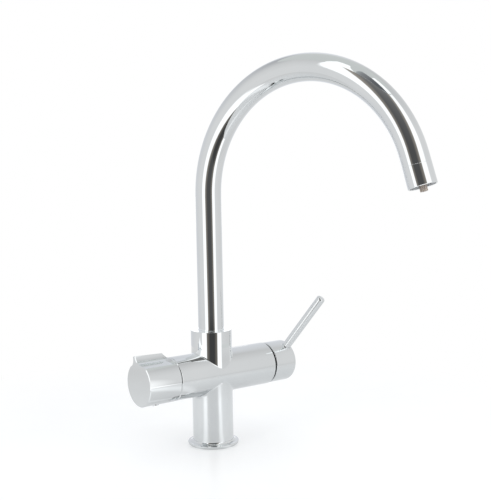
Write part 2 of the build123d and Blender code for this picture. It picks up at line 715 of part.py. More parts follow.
with BuildPart() as cartridge_base:
    bar(on_axis(mixer_floor), (1, 0, 0), cartridge_radius, cartridge_base_height)
    for up, side in ports:
        mouth = on_axis(mixer_floor) + Vector(0, side, up)
        bar(mouth, (1, 0, 0), port_diameter / 2, cartridge_base_height, mode=Mode.SUBTRACT)
        bar(mouth, (1, 0, 0), port_diameter / 2 + port_seal_section + 2 * fit, port_seal_section + fit,
            mode=Mode.SUBTRACT)

with BuildPart() as cartridge_port_seals:
    for up, side in ports:
        seal_middle = on_axis(mixer_floor + (port_seal_section + fit) / 2) + Vector(0, side, up)
        rubber_ring(Plane(origin=seal_middle, z_dir=(1, 0, 0)), port_diameter / 2 + port_seal_section + fit,
                    port_seal_section)

with BuildPart() as mixer_fixed_disc:
    bar(on_axis(base_end), (1, 0, 0), shell_bore - fit, fixed_disc_thickness)
    for up, side in ports:
        bar(on_axis(base_end) + Vector(0, side, up), (1, 0, 0), port_diameter / 2, fixed_disc_thickness,
            mode=Mode.SUBTRACT)

with BuildPart() as mixer_moving_disc:
    bar(on_axis(moving_disc_start), (1, 0, 0), moving_disc_diameter / 2, moving_disc_thickness)
    # the pocket in which hot and cold water mix
    bar(on_axis(moving_disc_start), (1, 0, 0), moving_disc_diameter / 2 - port_diameter / 2,
        moving_disc_thickness / 2, mode=Mode.SUBTRACT)

with BuildPart() as mixer_disc_carrier:
    bar(on_axis(carrier_start), (1, 0, 0), carrier_diameter / 2, carrier_thickness)
    # a rib that the rotor turns, and a hole for the ball end of the stem
    with BuildSketch(across_barrel(carrier_end, lever_side)):
        Rectangle(carrier_diameter, carrier_rib_width)
        Circle(carrier_diameter / 2, mode=Mode.INTERSECT)
    extrude(amount=carrier_rib_height)
    bar(on_axis(carrier_start), (1, 0, 0), ball_radius + ball_slack, rib_end - carrier_start,
        mode=Mode.SUBTRACT)
    bar(on_axis(carrier_end), (1, 0, 0), ball_radius + stem_size / 4, carrier_rib_height,
        mode=Mode.SUBTRACT)

with BuildPart() as cartridge_housing:
    turn_barrel([(base_end, shell_bore), (base_end, cartridge_radius), (nut_seat, cartridge_radius),
                 (nut_seat, neck_bore + cartridge_neck_wall), (neck_rim, neck_bore + cartridge_neck_wall),
                 (neck_rim, neck_bore), (shell_end, neck_bore), (shell_end, shell_bore)])

slot_width = stem_size + seat_gap
slot_back = ((rotor_end - pivot_x) * tan(radians(lever_swing)) + seat_gap
             + stem_size / 2 / cos(radians(lever_swing)))
slot_front = (pivot_x - rotor_start) * tan(radians(lever_swing)) + ball_radius + seat_gap

with BuildPart() as mixer_rotor:
    bar(on_axis(rotor_start), (1, 0, 0), shell_bore - running_fit, rotor_shoulder - rotor_start)
    bar(on_axis(rotor_start), (1, 0, 0), neck_bore - running_fit, rotor_end - rotor_start)
    # groove over the carrier's rib, slot for the stem and hole for the pivot pin
    with BuildSketch(across_barrel(rotor_start, lever_side)):
        Rectangle(2 * shell_bore, carrier_rib_width + seat_gap)
    extrude(amount=rib_end + seat_gap - rotor_start, mode=Mode.SUBTRACT)
    with BuildSketch(across_barrel(rotor_start, lever_side)):
        with Locations(((slot_front - slot_back) / 2, 0)):
            Rectangle(slot_front + slot_back, slot_width)
    extrude(amount=rotor_end - rotor_start, mode=Mode.SUBTRACT)
    bar(pivot - hinge_line * shell_bore, hinge_line, pivot_pin_diameter / 2 + fit, 2 * shell_bore,
        mode=Mode.SUBTRACT)

with BuildPart() as lever_pivot_pin:
    bar(pivot - hinge_line * (pivot_pin_length / 2), hinge_line, pivot_pin_diameter / 2, pivot_pin_length)

nut_bore = neck_bore + cartridge_neck_wall + seat_gap
nut_end = nut_seat + nut_height

with BuildPart() as cartridge_nut:
    turn_barrel([(nut_seat, nut_bore), (nut_seat, nut_radius - fit), (nut_end, nut_radius - fit),
                 (nut_end, nut_bore)])
    # notches for a face spanner
    with BuildSketch(across_barrel(nut_end)):
        with PolarLocations((nut_bore + nut_radius) / 2, nut_notches):
            Rectangle(nut_radius - nut_bore + cut_past, nut_notch_width)
    extrude(amount=-nut_height / 4, mode=Mode.SUBTRACT)

dome_rim = nut_radius - seat_gap
dome_shoulder = pivot_x + sqrt(dome_radius**2 - dome_rim**2)
dome_top = pivot_x + sqrt(dome_radius**2 - (dome_opening / 2) ** 2)
dome_middle = (dome_rim + dome_opening / 2) / 2

with BuildPart() as dome_ring:
    # the outside is part of a sphere about the pivot, so that the lever's cap can swing over it
    with BuildSketch(barrel_section):
        with BuildLine():
            Polyline((dome_top, dome_opening / 2), (nut_end, dome_opening / 2), (nut_end, dome_rim),
                     (dome_shoulder, dome_rim))
            ThreePointArc((dome_shoulder, dome_rim),
                          (pivot_x + sqrt(dome_radius**2 - dome_middle**2), dome_middle),
                          (dome_top, dome_opening / 2))
        make_face()
    revolve(axis=barrel_axis)

# ---------------------------------------------------------------- lever

cap_rim = barrel_right + cap_gap
cap_end = cap_rim + cap_length
cap_inside = cap_end - cap_end_thickness
cap_cavity = cap_radius - cap_wall
cap_hub_start = pivot_x + dome_radius + cap_hub_gap
lever_crossing = on_axis(cap_rim + lever_root)
lever_out = Vector(1, 0, 0) * sin(radians(lever_lean)) + lever_side * cos(radians(lever_lean))
lever_section = Plane(origin=lever_crossing, x_dir=lever_out, z_dir=hinge_line)
stem_end = cap_rim + lever_root + stem_size
stem_foot = pivot_x - pivot_pin_diameter / 2 - stem_heel
rod_surface = cap_radius / cos(radians(lever_lean))
rod_end = rod_surface + lever_length
rod_root = hub_radius
rod_seat = rod_root + lever_thread_length
base_half = lever_base_diameter / 2
tip_half = lever_tip_diameter / 2

with BuildPart() as lever_stem:
    with Locations(on_axis(pivot_x - ball_arm)):
        Sphere(ball_radius)
    bar(on_axis(pivot_x - ball_arm), (1, 0, 0), ball_radius / 2, ball_arm)
    with BuildSketch(across_barrel(stem_foot, lever_side)):
        Rectangle(stem_size, stem_size)
    extrude(amount=stem_end - stem_foot)
    bar(pivot - hinge_line * stem_size, hinge_line, pivot_pin_diameter / 2 + running_fit, 2 * stem_size,
        mode=Mode.SUBTRACT)

with BuildPart() as lever_cap:
    bar(on_axis(cap_rim), (1, 0, 0), cap_radius, cap_length)
    fillet(lever_cap.faces().sort_by(Axis.X)[-1].edges(), radius=cap_round)
    fillet(lever_cap.faces().sort_by(Axis.X)[0].edges(), radius=cap_rim_round)
    # hollow inside, around a hub for the stem
    turn_barrel([(cap_rim, 0), (cap_rim, cap_cavity + cap_rim_bevel), (cap_rim + cap_rim_bevel, cap_cavity),
                 (cap_inside, cap_cavity), (cap_inside, hub_radius), (cap_hub_start, hub_radius),
                 (cap_hub_start, 0)], mode=Mode.SUBTRACT)
    # lugs for the rod and the grub screw
    bar(lever_crossing, lever_out, base_half + screw_lug_wall, rod_surface - cap_wall)
    bar(lever_crossing, -lever_side, screw_lug, cap_cavity + cap_wall / 2)
    with BuildSketch(across_barrel(stem_end + fit, lever_side)):
        Rectangle(stem_size + 2 * fit, stem_size + 2 * fit)
    extrude(amount=-cap_length, mode=Mode.SUBTRACT)
    bar(lever_crossing + lever_out * rod_root, lever_out, lever_thread_diameter / 2 + fit,
        lever_thread_length, mode=Mode.SUBTRACT)
    bar(lever_crossing + lever_out * rod_seat, lever_out, base_half + fit, rod_surface, mode=Mode.SUBTRACT)
    cut_screw_hole(lever_crossing, -lever_side, cap_radius)

with BuildPart() as lever_rod:
    with BuildSketch(lever_section):
        with BuildLine():
            Polyline((rod_root, 0), (rod_root, lever_thread_diameter / 2),
                     (rod_seat, lever_thread_diameter / 2), (rod_seat, base_half),
                     (rod_surface, base_half), (rod_end, tip_half), (rod_end, 0), close=True)
        make_face()
    revolve(axis=Axis(lever_crossing, lever_out))
    fillet(lever_rod.faces().sort_by_distance(lever_crossing + lever_out * rod_end)[0].edges(),
           radius=lever_tip_round)

with BuildPart() as lever_grub_screw:
    grub_screw(lever_crossing, -lever_side, stem_size / 2 + fit)

with BuildPart() as lever_screw_plug:
    screw_plug(lever_crossing, -lever_side, cap_radius)
    chamfer(lever_screw_plug.edges().sort_by_distance(lever_crossing)[-1], length=plug_stand / 2)

# ---------------------------------------------------------------- one file for each piece

pieces = {
    "body_casting": body_casting,
    "base_ring": base_ring,
    "base_gasket": base_gasket,
    "spout_trim_ring": spout_trim_ring,
    "spout_bush": spout_bush,
    "spout_lock_screw": spout_lock_screw,
    "spout_spigot": spout_spigot,
    "spout_o_rings": spout_o_rings,
    "spout_tube": spout_tube,
    "outlet_ferrule": outlet_ferrule,
    "aerator_washer": aerator_washer,
    "aerator_body": aerator_body,
    "filtered_nozzle": filtered_nozzle,
    "inner_filter_tube": inner_filter_tube,
    "inner_tube_fitting": inner_tube_fitting,
    "inner_tube_o_ring": inner_tube_o_ring,
    "filter_valve_bonnet": filter_valve_bonnet,
    "filter_bonnet_o_ring": filter_bonnet_o_ring,
    "filter_seat_seal": filter_seat_seal,
    "filter_fixed_disc": filter_fixed_disc,
    "filter_moving_disc": filter_moving_disc,
    "filter_spindle": filter_spindle,
    "filter_spindle_o_ring": filter_spindle_o_ring,
    "filter_spindle_circlip": filter_spindle_circlip,
    "filter_knob": filter_knob,
    "knob_grub_screw": knob_grub_screw,
    "knob_screw_plug": knob_screw_plug,
    "cartridge_base": cartridge_base,
    "cartridge_port_seals": cartridge_port_seals,
    "mixer_fixed_disc": mixer_fixed_disc,
    "mixer_moving_disc": mixer_moving_disc,
    "mixer_disc_carrier": mixer_disc_carrier,
    "cartridge_housing": cartridge_housing,
    "mixer_rotor": mixer_rotor,
    "lever_pivot_pin": lever_pivot_pin,
    "cartridge_nut": cartridge_nut,
    "dome_ring": dome_ring,
    "lever_stem": lever_stem,
    "lever_cap": lever_cap,
    "lever_rod": lever_rod,
    "lever_grub_screw": lever_grub_screw,
    "lever_screw_plug": lever_screw_plug,
}
for name, piece in pieces.items():
    piece.part.label = name
    export_step(piece.part, f"parts/{name}.step")
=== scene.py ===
"""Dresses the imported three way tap: its camera, studio, surfaces and finest pieces."""

import json
from collections import namedtuple
from math import cos, pi, radians, sin, sqrt

import bmesh
import bpy
from mathutils import Matrix, Vector


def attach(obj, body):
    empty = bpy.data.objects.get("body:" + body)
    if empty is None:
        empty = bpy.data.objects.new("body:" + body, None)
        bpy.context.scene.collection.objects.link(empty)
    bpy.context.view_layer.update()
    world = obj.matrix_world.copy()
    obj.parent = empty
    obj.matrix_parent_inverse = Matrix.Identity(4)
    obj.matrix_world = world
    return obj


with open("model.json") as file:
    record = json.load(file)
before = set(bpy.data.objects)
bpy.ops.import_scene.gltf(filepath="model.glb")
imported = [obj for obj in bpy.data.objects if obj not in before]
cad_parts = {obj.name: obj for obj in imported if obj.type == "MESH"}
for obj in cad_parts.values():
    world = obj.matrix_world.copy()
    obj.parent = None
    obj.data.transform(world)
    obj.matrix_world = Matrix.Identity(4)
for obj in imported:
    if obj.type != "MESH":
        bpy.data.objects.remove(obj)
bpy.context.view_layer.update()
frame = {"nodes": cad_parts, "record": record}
cad_nodes = frame["nodes"]

# ---------------------------------------------------------------- camera
picture_width, picture_height = 491, 500
focal_pixels = 937.792
camera_place = Vector((-0.519209, -0.747791, 0.272568))
yaw, pitch, roll = radians(36.981), radians(5.093), radians(1.03)

ahead = Vector((sin(yaw) * cos(pitch), cos(yaw) * cos(pitch), -sin(pitch)))
level = Vector((cos(yaw), -sin(yaw), 0.0))
above = level.cross(ahead)
right = cos(roll) * level - sin(roll) * above
up = cos(roll) * above + sin(roll) * level
camera = bpy.data.objects.new("camera", bpy.data.cameras.new("camera"))
camera.matrix_world = Matrix.Translation(camera_place) @ Matrix((right, up, -ahead)).transposed().to_4x4()
camera.data.sensor_fit = "AUTO"
camera.data.sensor_width = 36.0
camera.data.lens = focal_pixels * camera.data.sensor_width / max(picture_width, picture_height)
camera.data.clip_start = 0.02
camera.data.clip_end = 100.0
bpy.context.scene.collection.objects.link(camera)
bpy.context.scene.camera = camera
bpy.context.scene.view_settings.view_transform = "Standard"


# ---------------------------------------------------------------- node helpers
def new_surface(name):
    """A material with its node tree and its Principled shader."""
    surface = bpy.data.materials.new(name)
    surface.use_nodes = True
    return surface, surface.node_tree, surface.node_tree.nodes["Principled BSDF"]


def object_place(tree, stretch=(1.0, 1.0, 1.0)):
    """Object coordinates in metres, stretched."""
    place = tree.nodes.new("ShaderNodeTexCoord")
    mapping = tree.nodes.new("ShaderNodeMapping")
    mapping.inputs["Scale"].default_value = stretch
    tree.links.new(place.outputs["Object"], mapping.inputs["Vector"])
    return mapping.outputs["Vector"]


def place_parts(tree):
    """Object coordinates in metres, as outputs named X, Y and Z."""
    split = tree.nodes.new("ShaderNodeSeparateXYZ")
    tree.links.new(object_place(tree), split.inputs["Vector"])
    return split.outputs


def noise(tree, scale, detail=3.0, stretch=(1.0, 1.0, 1.0)):
    """A noise from 0 to 1, with its scale in features per metre."""
    cloud = tree.nodes.new("ShaderNodeTexNoise")
    cloud.inputs["Scale"].default_value = scale
    cloud.inputs["Detail"].default_value = detail
    tree.links.new(object_place(tree, stretch), cloud.inputs["Vector"])
    return cloud.outputs["Fac"]


def colours(tree, value, stops):
    """A colour ramp over a value, from (position, colour) stops."""
    ramp = tree.nodes.new("ShaderNodeValToRGB")
    ramp.color_ramp.elements[0].position = stops[0][0]
    ramp.color_ramp.elements[0].color = (*stops[0][1], 1.0)
    ramp.color_ramp.elements[1].position = stops[-1][0]
    ramp.color_ramp.elements[1].color = (*stops[-1][1], 1.0)
    for position, colour in stops[1:-1]:
        ramp.color_ramp.elements.new(position).color = (*colour, 1.0)
    tree.links.new(value, ramp.inputs["Fac"])
    return ramp.outputs["Color"]


def ranged(tree, value, low, high, start=0.3, end=0.7):
    """Maps a value that runs from start to end on to low to high."""
    mapped = tree.nodes.new("ShaderNodeMapRange")
    mapped.inputs["From Min"].default_value = start
    mapped.inputs["From Max"].default_value = end
    mapped.inputs["To Min"].default_value = low
    mapped.inputs["To Max"].default_value = high
    tree.links.new(value, mapped.inputs["Value"])
    return mapped.outputs["Result"]


def maths(tree, operation, *values):
    """A Math node over sockets and numbers."""
    node = tree.nodes.new("ShaderNodeMath")
    node.operation = operation
    for socket, value in zip(node.inputs, values):
        if isinstance(value, (int, float)):
            socket.default_value = value
        else:
            tree.links.new(value, socket)
    return node.outputs["Value"]


def bumps(tree, shader, height, distance, strength=1.0):
    """Raises the surface by a height times a distance in metres."""
    bump = tree.nodes.new("ShaderNodeBump")
    bump.inputs["Strength"].default_value = strength
    bump.inputs["Distance"].default_value = distance
    tree.links.new(height, bump.inputs["Height"])
    tree.links.new(bump.outputs["Normal"], shader.inputs["Normal"])


def blended(tree, factor, first, second, kind="RGBA"):
    """Goes from the first colour or value to the second as the factor goes from 0 to 1."""
    mix = tree.nodes.new("ShaderNodeMix")
    mix.data_type = kind
    socket_type = {"RGBA": "RGBA", "FLOAT": "VALUE"}[kind]
    ends = [socket for socket in mix.inputs if socket.name in ("A", "B") and socket.type == socket_type]
    tree.links.new(factor, mix.inputs["Factor"])
    tree.links.new(first, ends[0])
    tree.links.new(second, ends[1])
    return next(socket for socket in mix.outputs if socket.type == socket_type)


def turn_of(tree, place):
    """The angle round the Z axis from +X, in degrees from 0 to 360."""
    angle = maths(tree, "ARCTAN2", place["Y"], place["X"])
    share = maths(tree, "FRACT", maths(tree, "ADD", maths(tree, "DIVIDE", angle, 2 * pi), 1.0))
    return maths(tree, "MULTIPLY", share, 360.0)


# ---------------------------------------------------------------- surfaces
# A round zone inside a piece that the plating doesn't reach: the axis it runs along, its centre across,
# radius, start and end, its two tones, and where a thread starts and its pitch. In the cap and knob the dark
# tones are partly painted shade in the joints
RawZone = namedtuple("RawZone", "along centre radius start end tones thread")
thread_height = 40.0  # in heights of the slow wave


def polished_chrome(name, wave=0.000004, satin=0.0, raw=None):
    """Bright chrome plate: a cool mirror with faint clouding, polishing swirls and a slow wave."""
    surface, tree, shader = new_surface(name)
    shader.inputs["Metallic"].default_value = 1.0
    tint = colours(tree, noise(tree, 22.0), [(0.3, (0.615, 0.635, 0.645)), (0.7, (0.65, 0.665, 0.672))])
    haze = maths(tree, "ADD", ranged(tree, noise(tree, 60.0), 0.012 + satin, 0.035 + satin),
                 ranged(tree, noise(tree, 900.0, 6.0, (1.0, 1.0, 0.12)), 0.0, 0.02, 0.45, 0.75))
    relief = noise(tree, 45.0, 1.0)
    if raw:
        place = place_parts(tree)
        across = [maths(tree, "POWER", maths(tree, "SUBTRACT", place[axis], raw.centre[axis]), 2.0)
                  for axis in "XYZ" if axis != raw.along]
        inside = maths(tree, "LESS_THAN", maths(tree, "SQRT", maths(tree, "ADD", *across)), raw.radius)
        inside = maths(tree, "MULTIPLY", inside, maths(tree, "GREATER_THAN", place[raw.along], raw.start))
        inside = maths(tree, "MULTIPLY", inside, maths(tree, "LESS_THAN", place[raw.along], raw.end))
        mottle = colours(tree, noise(tree, 300.0, 5.0), [(0.3, raw.tones[0]), (0.7, raw.tones[1])])
        tint = blended(tree, inside, tint, mottle)
        haze = blended(tree, inside, haze, ranged(tree, noise(tree, 700.0), 0.35, 0.6), "FLOAT")
        if raw.thread:
            begin, pitch = raw.thread
            turns = maths(tree, "SINE", maths(tree, "MULTIPLY", place[raw.along], 2 * pi / pitch))
            threaded = maths(tree, "MULTIPLY", inside, maths(tree, "GREATER_THAN", place[raw.along], begin))
            ridges = maths(tree, "MULTIPLY", maths(tree, "MULTIPLY", turns, threaded), thread_height)
            relief = maths(tree, "ADD", relief, ridges)
    tree.links.new(tint, shader.inputs["Base Color"])
    tree.links.new(haze, shader.inputs["Roughness"])
    bumps(tree, shader, relief, wave)
    return surface


def machined_metal(name, dark, light, rough, lines=1400.0, along="X"):
    """Turned metal: fine tool lines across its axis over a mottled tone."""
    surface, tree, shader = new_surface(name)
    shader.inputs["Metallic"].default_value = 1.0
    drawn_out = 0.04
    grooves = noise(tree, lines, 2.0, tuple(1.0 if axis == along else drawn_out for axis in "XYZ"))
    tree.links.new(colours(tree, noise(tree, 240.0, 4.0), [(0.3, dark), (0.7, light)]),
                   shader.inputs["Base Color"])
    tree.links.new(ranged(tree, grooves, rough - 0.08, rough + 0.1), shader.inputs["Roughness"])
    bumps(tree, shader, grooves, 0.00001)
    return surface


def moulded(name, dark, light, rough, scale=900.0, relief=0.00001):
    """A moulded or fired body with a fine grain and a slight drift of tone."""
    surface, tree, shader = new_surface(name)
    tree.links.new(colours(tree, noise(tree, 110.0, 4.0), [(0.3, dark), (0.7, light)]),
                   shader.inputs["Base Color"])
    grain = noise(tree, scale, 4.0)
    tree.links.new(ranged(tree, grain, rough - 0.06, rough + 0.08), shader.inputs["Roughness"])
    bumps(tree, shader, grain, relief)
    return surface, tree, shader


chrome = polished_chrome("chrome")
raw_brass = ((0.44, 0.31, 0.13), (0.62, 0.47, 0.22))
# unplated zinc, tinted darker than bare zinc so the joints' gaps show dark: partly painted shade
zinc_and_gap_shade = ((0.07, 0.066, 0.062), (0.12, 0.115, 0.11))
in_column, in_barrel = {"X": 0.0, "Y": 0.0}, {"Y": 0.0, "Z": 0.0715}
casting_chrome = polished_chrome("casting_chrome", wave=0.000006, raw=RawZone(
    along="Z", centre=in_column, radius=0.0172, start=-0.001, end=0.0505, tones=raw_brass,
    thread=(0.0381, 0.001)))
cap_chrome = polished_chrome("cap_chrome", raw=RawZone(
    along="X", centre=in_barrel, radius=0.0197, start=0.06, end=0.0884, tones=zinc_and_gap_shade, thread=None))
knob_chrome = polished_chrome("knob_chrome", raw=RawZone(
    along="X", centre=in_barrel, radius=0.01735, start=-0.0792, end=-0.045, tones=zinc_and_gap_shade, thread=None))
rod_chrome = polished_chrome("rod_chrome", satin=0.15)
brass = machined_metal("brass", (0.55, 0.39, 0.16), (0.72, 0.56, 0.27), 0.3)
steel = machined_metal("steel", (0.4, 0.41, 0.42), (0.55, 0.56, 0.57), 0.32, 1800.0, "Z")
rubber = moulded("rubber", (0.018, 0.018, 0.019), (0.034, 0.034, 0.035), 0.62, 1600.0, 0.00002)[0]
ceramic = moulded("ceramic", (0.78, 0.76, 0.7), (0.86, 0.84, 0.79), 0.3, 2200.0, 0.000003)[0]
acetal = moulded("acetal", (0.70, 0.70, 0.68), (0.78, 0.78, 0.76), 0.42, 1200.0, 0.000008)[0]
silicone, _, silicone_shader = moulded("silicone", (0.50, 0.42, 0.36), (0.66, 0.60, 0.55), 0.28, 700.0,
                                       0.00001)
silicone_shader.inputs["Transmission Weight"].default_value = 0.35
silicone_shader.inputs["IOR"].default_value = 1.41
silicone_shader.inputs["Subsurface Weight"].default_value = 0.25
silicone_shader.inputs["Subsurface Radius"].default_value = (1.0, 0.8, 0.6)
silicone_shader.inputs["Subsurface Scale"].default_value = 0.002

by_slot = {"chrome": chrome, "brass": brass, "steel": steel, "rubber": rubber, "ceramic": ceramic,
           "acetal": acetal, "food_grade_plastic": silicone}
slot_of = {part["node"]: part["material_slot"] for part in frame["record"]["subparts"]}
own_surface = {"body_casting": casting_chrome, "lever_rod": rod_chrome, "lever_cap": cap_chrome,
               "filter_knob": knob_chrome}
for node_name, node in cad_nodes.items():
    surface = own_surface.get(node_name) or by_slot[slot_of[node_name]]
    for slot in node.material_slots:
        slot.material = surface


# ---------------------------------------------------------------- finest pieces
spout_turn, arc_lean = radians(-75.0), radians(17.3)
arc_height, arc_radius, tip_length = 0.2455, 0.1135, 0.027
spout_radius, ferrule_wall, ferrule_length = 0.0125, 0.0013, 0.0181
outlet_recess, nozzle_radius = 0.0026, 0.0033
seam_bead, seam_stand = 0.00025, 0.0001  # the bead's radius, and how far it stands proud
bead_steps, bead_sides = 120, 10
mesh_pitch, mesh_wire, mesh_gap = 0.0011, 0.00016, 0.0003  # mesh_wire is the wire's radius
mesh_stand, wire_sides, steps_per_pitch = 2.2, 6, 4  # mesh_stand is in wire radii

spout_forward = Vector((cos(spout_turn), sin(spout_turn), 0.0))
outflow = spout_forward * sin(arc_lean) - Vector((0.0, 0.0, cos(arc_lean)))
along_arc = spout_forward * arc_radius * (1 + cos(arc_lean))
arc_end_height = Vector((0.0, 0.0, arc_height + arc_radius * sin(arc_lean)))
outlet = along_arc + arc_end_height + outflow * tip_length
outlet_side = spout_forward.cross(outflow).normalized()
outlet_place = (Matrix.Translation(outlet)
                @ Matrix((outlet_side, outflow.cross(outlet_side), outflow)).transposed().to_4x4())


def new_object(name, mesh):
    """A new object in the scene."""
    item = bpy.data.objects.new(name, mesh)
    bpy.context.scene.collection.objects.link(item)
    return item


def finished(name, shape, surface, body):
    """Turns a bmesh into a piece that rides on a body."""
    bmesh.ops.recalc_face_normals(shape, faces=shape.faces)
    for face in shape.faces:
        face.smooth = True
    mesh = bpy.data.meshes.new(name)
    shape.to_mesh(mesh)
    shape.free()
    mesh.materials.append(surface)
    piece = new_object(name, mesh)
    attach(piece, body)


def sweep(shape, stations, closed=False):
    """Skins a row of equal rings of points, with flat ends unless it is closed."""
    rings = [[shape.verts.new(point) for point in ring] for ring in stations]
    for first, second in zip(rings, rings[1:] + (rings[:1] if closed else [])):
        for i in range(len(first)):
            j = (i + 1) % len(first)
            shape.faces.new((first[i], first[j], second[j], second[i]))
    if not closed:
        shape.faces.new(rings[0])
        shape.faces.new(rings[-1])


# a fine bead where the ferrule meets the swan neck
bead = bmesh.new()
seam_radius = spout_radius - seam_bead + seam_stand
bead_rings = []
for step in range(bead_steps):
    turn = 2 * pi * step / bead_steps
    bead_ring = []
    for side in range(bead_sides):
        roll_on = 2 * pi * side / bead_sides
        out = seam_radius + seam_bead * cos(roll_on)
        bead_ring.append(outlet_place @ Vector((out * cos(turn), out * sin(turn),
                                                seam_bead * sin(roll_on) - ferrule_length)))
    bead_rings.append(bead_ring)
sweep(bead, bead_rings, closed=True)
finished("outlet_seam", bead, chrome, "spout")

# the woven screen round the filtered water's nozzle
screen = bmesh.new()
screen_outer, screen_inner = spout_radius - ferrule_wall - mesh_gap, nozzle_radius + mesh_gap
screen_depth = -outlet_recess + mesh_stand * mesh_wire
reach = int(screen_outer / mesh_pitch)
for crosswise in (False, True):
    for line in range(-reach, reach + 1):
        offset = line * mesh_pitch
        half = sqrt(screen_outer**2 - offset**2)
        hole = sqrt(max(screen_inner**2 - offset**2, 0.0))
        for low, high in [(-half, -hole), (hole, half)] if hole else [(-half, half)]:
            steps = max(2, round(steps_per_pitch * (high - low) / mesh_pitch))
            stations = []
            for step in range(steps + 1):
                at = low + (high - low) * step / steps
                lift = mesh_wire * (1 if crosswise else -1) * cos(pi * (at / mesh_pitch + line))
                station = []
                for corner in range(wire_sides):
                    round_wire = 2 * pi * corner / wire_sides
                    side = offset + mesh_wire * cos(round_wire)
                    height = screen_depth + lift + mesh_wire * sin(round_wire)
                    place = (side, at, height) if crosswise else (at, side, height)
                    station.append(outlet_place @ Vector(place))
                stations.append(station)
            sweep(screen, stations)
finished("aerator_screen", screen, steel, "spout")


# ---------------------------------------------------------------- studio
def rays_that_show(tree):
    """1 for the rays that see the background as white: camera, glossy and transmission."""
    path = tree.nodes.new("ShaderNodeLightPath")
    seen = maths(tree, "MAXIMUM", path.outputs["Is Camera Ray"], path.outputs["Is Glossy Ray"])
    return maths(tree, "MAXIMUM", seen, path.outputs["Is Transmission Ray"])


world = bpy.data.worlds.new("studio")
world.use_nodes = True
bpy.context.scene.world = world
sky = world.node_tree
white = sky.nodes["Background"]
white.inputs["Color"].default_value = (1.0, 1.0, 1.0, 1.0)
white.inputs["Strength"].default_value = 1.0
fill = sky.nodes.new("ShaderNodeBackground")
fill.inputs["Color"].default_value = (0.97, 0.985, 1.0, 1.0)
fill.inputs["Strength"].default_value = 0.8
world_mix = sky.nodes.new("ShaderNodeMixShader")
sky.links.new(rays_that_show(sky), world_mix.inputs["Fac"])
sky.links.new(fill.outputs["Background"], world_mix.inputs[1])
sky.links.new(white.outputs["Background"], world_mix.inputs[2])
sky.links.new(world_mix.outputs["Shader"], sky.nodes["World Output"].inputs["Surface"])

floor_radius = 4.0
fade_start, fade_end = 0.189, 0.42  # where the floor turns into plain backdrop
camera_lift = 0.045  # how much lighter the table looks to the camera than to the chrome
# the table's painted sheen, two soft glowing bands that only reflections see and that point at the softboxes:
# the degrees where each one starts, is full from and to, and ends
left_sheen, right_sheen = (183, 192, 202, 210), (262, 272, 279, 287)
dull, sheen = (0.0, 0.0, 0.0), (1.0, 1.0, 1.0)

floor_mesh = bpy.data.meshes.new("floor")
disc = bmesh.new()
bmesh.ops.create_circle(disc, cap_ends=True, segments=96, radius=floor_radius)
disc.to_mesh(floor_mesh)
disc.free()
floor = new_object("floor", floor_mesh)
floor_surface, floor_tree, floor_shader = new_surface("floor")
dark_grey, light_grey = (0.41, 0.41, 0.41), (0.43, 0.43, 0.43)
floor_tone = colours(floor_tree, noise(floor_tree, 9.0), [(0.3, dark_grey), (0.7, light_grey)])
floor_haze = ranged(floor_tree, noise(floor_tree, 30.0), 0.40, 0.46)
floor_tree.links.new(floor_tone, floor_shader.inputs["Base Color"])
floor_tree.links.new(floor_haze, floor_shader.inputs["Roughness"])
distance = floor_tree.nodes.new("ShaderNodeVectorMath")
distance.operation = "LENGTH"
floor_tree.links.new(object_place(floor_tree), distance.inputs[0])


def by_distance(low, high, start, end):
    """Goes from low to high between two distances from the middle of the floor."""
    return ranged(floor_tree, distance.outputs["Value"], low, high, start, end)


shows = rays_that_show(floor_tree)
path = floor_tree.nodes.new("ShaderNodeLightPath")
glow = floor_tree.nodes.new("ShaderNodeEmission")
glow.inputs["Color"].default_value = (1.0, 1.0, 1.0, 1.0)
backdrop_glow = maths(floor_tree, "MAXIMUM", path.outputs["Is Camera Ray"],
                      by_distance(0.9, 0.975, 0.44, 0.515))
floor_tree.links.new(backdrop_glow, glow.inputs["Strength"])
sheen_stops = [(at / 360, tone) for streak in (left_sheen, right_sheen)
               for at, tone in zip(streak, (dull, sheen, sheen, dull))]
floor_turn = maths(floor_tree, "DIVIDE", turn_of(floor_tree, place_parts(floor_tree)), 360.0)
streaks = colours(floor_tree, floor_turn, sheen_stops)
sheen_glow = maths(floor_tree, "MULTIPLY", by_distance(0.17, 0.32, 0.05, 0.2), path.outputs["Is Glossy Ray"])
# the table's glow, which only the camera and reflections see, dimmer near the tap's foot: painted shade round
# the foot
table_glow_with_foot_shade = maths(floor_tree, "ADD", by_distance(0.43, 0.5, 0.02, 0.1),
                   maths(floor_tree, "MULTIPLY", path.outputs["Is Camera Ray"], camera_lift))
paper = floor_tree.nodes.new("ShaderNodeEmission")
paper.inputs["Color"].default_value = (0.985, 1.0, 1.01, 1.0)
# the paper's glow: the table glow for the camera and reflections, plus the painted sheen for reflections only
paper_glow_with_painted_sheen = maths(floor_tree, "ADD", maths(floor_tree, "MULTIPLY", shows, table_glow_with_foot_shade),
                   maths(floor_tree, "MULTIPLY", streaks, sheen_glow))
floor_tree.links.new(paper_glow_with_painted_sheen, paper.inputs["Strength"])
near_mix = floor_tree.nodes.new("ShaderNodeAddShader")
floor_tree.links.new(floor_shader.outputs["BSDF"], near_mix.inputs[0])
floor_tree.links.new(paper.outputs["Emission"], near_mix.inputs[1])
floor_mix = floor_tree.nodes.new("ShaderNodeMixShader")
faded_out = maths(floor_tree, "MULTIPLY", by_distance(0.0, 1.0, fade_start, fade_end), shows)
floor_tree.links.new(faded_out, floor_mix.inputs["Fac"])
floor_tree.links.new(near_mix.outputs["Shader"], floor_mix.inputs[1])
floor_tree.links.new(glow.outputs["Emission"], floor_mix.inputs[2])
floor_tree.links.new(floor_mix.outputs["Shader"], floor_tree.nodes["Material Output"].inputs["Surface"])
floor_mesh.materials.append(floor_surface)

# The light tent that the chrome mirrors: glowing round walls, a roof and the edge of the table
# that only reflections see, a painted reflection of the studio
tent_radius, tent_height, table_edge = 0.52, 1.0, 0.285
